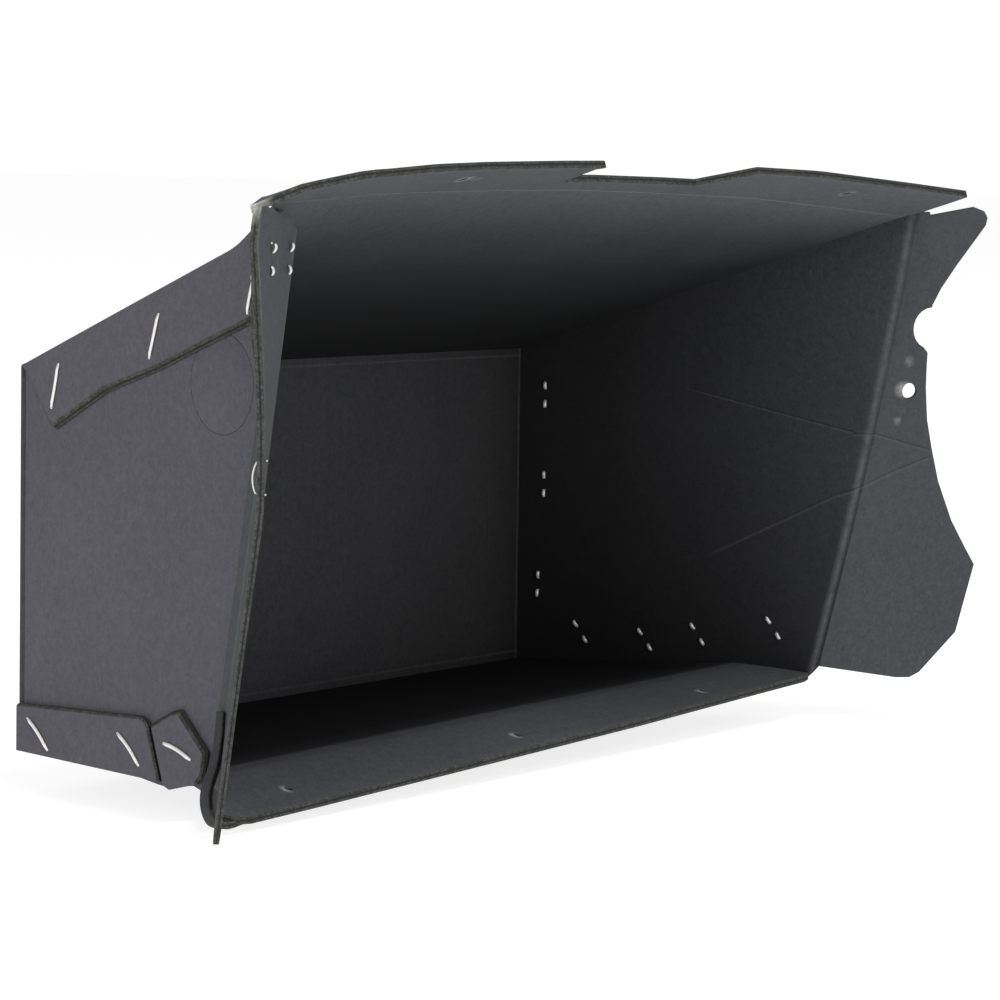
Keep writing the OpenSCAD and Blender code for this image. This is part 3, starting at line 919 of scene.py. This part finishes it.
# the rounded fold between the right panel and its flange
sheet = cutSheet(
    [(-skin, -0.6), (0, -1.6), (skin, -2.6), (skin, 144.0), (0, foldLength - 0.2),
     (-skin, foldLength - 0.8)], board, folded=(2, 5), soften=0.2)
cutRows(sheet, 0, [-1.3, -0.9, -0.5, 0, 0.5, 0.9, 1.3])
cutRows(sheet, 1, steps(0, foldLength, 5.0))
rightFold = finishSheet("rightFold", sheet, rightFlangePlace, fibreBoard(
    "foldBoard", tint=(0.97, 0.98, 1.02), creases=[(0, 0.9, 2.4, 0.42)],
    grooves=[(-12.0, 71.9, 8, 66.9, 0.7), (-12.0, 96.6, 8, 80.4, 0.9)], innerShade=wallShade),
    body=None)
middle = Vector(rightFlangePlace(0, 70, board / 2)) * mm
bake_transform(rightFold)
print("right flange and its fold")

# flaps stapled outside the side panels
def flapPlace(side, lifted):
    flat = sidePlace(side, board + box["plyGap"])

    def place(y, z, w):
        x, y, z = flat(y, z, w)
        if lifted:
            head = smooth((z - roofHeight(y) + warp["flapFade"]) / warp["flapFade"])
            z += roofLift(x, y) * head * warp["leftHead"]
        return x, y, z
    return place


def fromCorner(*points):
    # (y, z) points given from the mouth's lower corner, back and up
    return [(box["frontY"] + y, box["floorZ"] + z) for y, z in points]


def addFlap(name, node, lookName, side, outline, rowsY=(), rowsZ=(), lifted=False, **cut):
    sheet = cutSheet(outline, board, **cut)
    cutRows(sheet, 0, rowsY)
    cutRows(sheet, 1, rowsZ)
    look = fibreBoard(lookName, tint=outerTint)
    finishSheet(name, sheet, flapPlace(side, lifted), look, nodes=(node,))


def underRoof(y, drop):
    # a point this far below the roof's inner face, at a distance back from the mouth
    y += box["frontY"]
    return y, roofHeight(y) - drop


backCut = underRoof(104.5, 15.0)
topOutline = [
    (box["backY"] + 0.6, backHigh - 0.6), (backCut[0] - 1.0, backCut[1]),
    (backCut[0] - 3.5, backCut[1] - 1.4), *fromCorner(
        (77, 98.4), (53.5, 105.8), (28.6, 115.0), (16, 119.5), (3.5, 123.5)),
    underRoof(3.5, 0.4 - roofRise),
]
addFlap(
    "topFlap", "left_top_flap", "topFlapBoard", -1, topOutline, steps(-116, -2, 4.0),
    steps(20, 96, 4.0), lifted=True, folded=(8,), slant=1.5)
addFlap(
    "rearFloorFlap", "left_rear_flap", "rearFlapBoard", -1, fromCorner(
        (117.2, 10.0), (60.2, 12.8), (57.6, 11.8), (56.6, 10.2), (51.6, -3.6), (117.2, -3.0)),
    steps(-66, -2, 5.0), folded=(4, 5), slant=1.7)
addFlap(
    "frontFloorFlap", "left_front_flap", "frontFlapBoard", -1, fromCorner(
        (56.4, 11.0), (46.5, 15.8), (43.2, 16.6), (31.2, 6.6), (32.6, -0.2), (34.8, -2.2),
        (46.8, -5.2), (50.9, -3.9)),
    steps(-87, -62, 5.0), folded=(5, 6), slant=1.6)
addFlap(
    "rightBackFlap", "right_back_flap", "backFlapBoard", 1, fromCorner(
        (117.2, 97), (100, 94), (98, 91), (98, 21), (100, 18.5), (117.2, 16.5)),
    rowsZ=steps(-33, 48, 8.0), folded=(5,), soften=0.4)
addFlap(
    "rightFloorFlap", "right_floor_flap", "floorFlapBoard", 1, fromCorner(
        (115, 12), (108, 15.5), (41, 18), (39, 17), (32, 8), (34, 0.6 - board), (42, -board),
        (48, -board), (115, -board)),
    steps(-86, -4, 8.0), folded=(6, 7), soften=0.4)
print("flaps")

# staples: flat wire, bowed crown outside and two clinched tips inside
staple = {
    "crown": 12.7,
    "width": 1.15,
    "thick": 0.62,
    "tip": 2.4,
    "inner": 2.7,  # half the distance between the two tips
    "back": 1.4,
    "rise": 0.75,
}


def wireAlong(target, points, width, thick, across):
    # a flat wire through points, with its wide side along a direction
    rings = []
    for i, point in enumerate(points):
        before, after = points[max(i - 1, 0)], points[min(i + 1, len(points) - 1)]
        way = (after - before).normalized()
        side = (across - way * across.dot(way)).normalized()
        up = way.cross(side)
        turn = Matrix((side, up, way)).transposed().to_4x4()
        taper = 0.72 if i in (0, len(points) - 1) else 1.0
        scale = Matrix.Diagonal((width * taper, thick * taper, 1, 1))
        ring = bmesh.ops.create_circle(
            target, segments=10, radius=0.5, matrix=Matrix.Translation(point) @ turn @ scale)
        rings.append(ring["verts"])
    for a, b in zip(rings, rings[1:]):
        edges = {e for v in a + b for e in v.link_edges if e.other_vert(v) in a or e.other_vert(v) in b}
        loops = [e for e in edges if (e.verts[0] in a) == (e.verts[1] in a)]
        bmesh.ops.bridge_loops(target, edges=loops)
    for ring in (rings[0], rings[-1]):
        target.faces.new(ring)


def stapleAt(target, crownPoint, outward, way, crownBow=0.0):
    # way is the crown's direction, outward points away from the two plies on the crown's side
    outward, way = outward.normalized(), way.normalized()
    wide = outward.cross(way)
    width, thick = staple["width"], staple["thick"]
    half = staple["crown"] / 2
    grip = 2 * board + 0.1
    lift = thick * 0.5
    crown = []
    for i in range(9):
        t = i / 4 - 1
        edge = 1 if abs(t) < 0.98 else 0.25
        crown.append(crownPoint + way * t * half + outward * lift * edge + wide * crownBow * (1 - t * t))
    wireAlong(target, crown, width, thick, wide)
    for sign in (-1, 1):
        inward = way * -sign
        foot = crownPoint - inward * half
        inner = foot - outward * grip
        hidden = inner + inward * (half - staple["inner"] - staple["back"]) + outward * 0.2
        leg = [foot + outward * 0.2, foot - outward * grip * 0.45, hidden]
        wireAlong(target, leg, width * 0.9, thick * 0.9, wide)
        start = inner + inward * (half - staple["inner"])
        curve = []
        for i in range(7):
            t = i / 6
            arc = 0.25 + staple["rise"] * math.sin(math.pi * min(1, 0.15 + t * 0.85))
            curve.append(start + inward * (staple["tip"] * t - staple["back"]) - outward * arc)
        wireAlong(target, curve, width * 0.95, thick, wide)


def finishStaples(name, target, nodes):
    bmesh.ops.scale(target, vec=(mm, mm, mm), verts=target.verts[:])
    bmesh.ops.recalc_face_normals(target, faces=target.faces[:])
    for face in target.faces:
        face.smooth = True
    mesh = bpy.data.meshes.new(name)
    target.to_mesh(mesh)
    target.free()
    mesh.materials.append(wireLook)
    piece = bpy.data.objects.new(name, mesh)
    bpy.context.scene.collection.objects.link(piece)
    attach(piece, "liner")
    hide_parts(*nodes)


def sideStaples(name, side, nodes, places):
    # places: the crown's two ends, back and up from the mouth's lower corner, then the sideways bow
    target = bmesh.new()
    flat = sidePlace(side, 2 * board + box["plyGap"])
    outward = Vector((side * math.cos(splay), math.sin(splay), 0))
    for *ends, bow in places:
        a, b = (Vector(flat(y, z, 0)) for y, z in fromCorner(ends[:2], ends[2:]))
        stapleAt(target, (a + b) / 2, outward, b - a, crownBow=bow)
    finishStaples(name, target, nodes)


sideStaples("topStaples", -1, ("left_top_staples",), [
    (98.2, 104.9, 101.2, 93.2, 0.25), (53.0, 120.6, 56.8, 109.2, 0.1),
    (11.3, 134.2, 14.6, 123.4, -0.2)])
sideStaples("floorStaples", -1, ("left_floor_staples",), [
    (112.2, 6.9, 101.8, -1.5, 0.6), (70.2, 7.5, 60.1, -0.5, 0.7), (49.8, 7.1, 37.2, 3.9, 0.6)])
sideStaples("backCornerStaples", 1, ("right_back_staples",), [
    (109.6, 90.8, 109.6, 78.2, 0), (109.6, 62.3, 109.6, 49.7, 0), (110.9, 30.3, 111.3, 17.7, 0)])
sideStaples("floorCornerStaples", 1, ("right_floor_staples",), [
    (y + 3.33, z + 5.4, y - 3.37, z - 5.4, 0)
    for y, z in ((97.7, 9.3), (77.7, 7.6), (61.6, 10.0), (38.5, 12.9))])


def behindFlange(d):
    # out of the left flange's back, and along the flange away from its fold
    turn = leftTurn(d / foldLength)
    return Vector((-math.cos(turn), math.sin(turn), 0)), Vector((math.sin(turn), math.cos(turn), 0))


target = bmesh.new()
outward = behindFlange(ear["stapleDown"])[0]
for u in ear["stapleAcross"]:
    crownPoint = Vector(leftFlangePlace(u, ear["stapleDown"], -board - ear["gap"]))
    stapleAt(target, crownPoint, outward, Vector((0.06, 0.16, -0.98)))
finishStaples("earStaples", target, ("ear_staples",))

loose = {"across": 17.0, "down": 62.5, "half": 4.6, "bow": 1.1, "sink": 0.9, "width": 1.5}
target = bmesh.new()
outward, alongFlange = behindFlange(loose["down"])
wire = []
for i in range(15):
    t = i / 7 - 1
    foot = Vector(leftFlangePlace(loose["across"], loose["down"] + loose["half"] * t, 0))
    sink = loose["sink"] if abs(t) > 0.99 else 0.0
    wire.append(foot + outward * (loose["bow"] * (1 - t * t) - sink))
wireAlong(target, wire, loose["width"], staple["thick"], alongFlange)
for end in (-1, 1):
    foot = Vector(leftFlangePlace(loose["across"], loose["down"] + (loose["half"] - 0.1) * end, 0))
    leg = [foot, foot - outward * (board + 0.35)]
    wireAlong(target, leg, staple["width"], staple["thick"], alongFlange)
finishStaples("flangeStaple", target, ("flange_staple",))
print("staples")

# studio
studio = {
    "floorSize": 14.0,
    "gap": 0.0005,
    "sky": 0.34,
    "backdrop": 1.05,
    "paperGlow": 0.78,
    "aim": (0, -0.06, 0.0),
    # each lamp: place, size in metres, power in watts
    "key": (-2.3, 0.25, 0.55, 1.4, 19.0),
    "front": (-1.2, -1.7, 0.9, 1.0, 11.0),
    "top": (-0.3, -0.9, 2.0, 1.0, 22.0),
}
floorMesh = bmesh.new()
bmesh.ops.create_grid(floorMesh, x_segments=2, y_segments=2, size=studio["floorSize"] / 2)
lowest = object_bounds()[0].z
bmesh.ops.translate(floorMesh, verts=floorMesh.verts[:], vec=(0, 0, lowest - studio["gap"]))
mesh = bpy.data.meshes.new("studioFloor")
floorMesh.to_mesh(mesh)
floorMesh.free()
studioFloor = bpy.data.objects.new("studioFloor", mesh)
bpy.context.scene.collection.objects.link(studioFloor)
paper = Finish("palePaper")
tone = paper.noise(paper.place(), 3.0, 2.0)
paperTone = paper.blend(tone, colour(0.56, 0.56, 0.56), colour(0.58, 0.58, 0.58))
mesh.materials.append(paper.close(
    paperTone, tone * 0.05 + 0.9, tone, 0.01, 0.02, level=0.0, glow=studio["paperGlow"]))

world = bpy.data.worlds.new("studioSky")
bpy.context.scene.world = world
world.use_nodes = True
sky = world.node_tree
sky.nodes.clear()
# the camera sees a white backdrop, but the sky lights the piece only dimly
path = sky.nodes.new("ShaderNodeLightPath")
dim = sky.nodes.new("ShaderNodeBackground")
dim.inputs["Strength"].default_value = studio["sky"]
bright = sky.nodes.new("ShaderNodeBackground")
bright.inputs["Strength"].default_value = studio["backdrop"]
for background in (dim, bright):
    background.inputs["Color"].default_value = (1, 1, 1, 1)
mixed = sky.nodes.new("ShaderNodeMixShader")
out = sky.nodes.new("ShaderNodeOutputWorld")
sky.links.new(path.outputs["Is Camera Ray"], mixed.inputs[0])
sky.links.new(dim.outputs[0], mixed.inputs[1])
sky.links.new(bright.outputs[0], mixed.inputs[2])
sky.links.new(mixed.outputs[0], out.inputs["Surface"])

for name in ("key", "front", "top"):
    x, y, z, size, power = studio[name]
    lamp = bpy.data.lights.new(name + "Light", "AREA")
    lamp.size = size
    lamp.energy = power
    light = bpy.data.objects.new(name + "Light", lamp)
    bpy.context.scene.collection.objects.link(light)
    light.location = (x, y, z)
    light.rotation_mode = "QUATERNION"
    aim = Vector(studio["aim"]) - Vector((x, y, z))
    light.rotation_quaternion = aim.to_track_quat("-Z", "Y")

view = {
    "at": (-1.20245, -0.85318, 0.13316),
    "azimuth": -0.996930886,
    "elevation": 0.083637588,
    "roll": 0.013528901,
    "lens": 178.68,
}
camera = bpy.data.cameras.new("productCamera")
camera.lens = view["lens"]
camera.sensor_width = 36
camera.clip_start, camera.clip_end = 0.05, 50
lookOut = bpy.data.objects.new("productCamera", camera)
bpy.context.scene.collection.objects.link(lookOut)
az, el, roll = view["azimuth"], view["elevation"], view["roll"]
back = Vector((math.sin(az) * math.cos(el), -math.cos(az) * math.cos(el), math.sin(el)))
level = Vector((math.cos(az), math.sin(az), 0))
upright = back.cross(level)
right = level * math.cos(roll) + upright * math.sin(roll)
up = upright * math.cos(roll) - level * math.sin(roll)
turn = Matrix((right, up, back)).transposed().to_4x4()
lookOut.matrix_world = Matrix.Translation(view["at"]) @ turn
bpy.context.scene.camera = lookOut
bpy.context.scene.view_settings.view_transform = "Standard"
print("studio and camera")
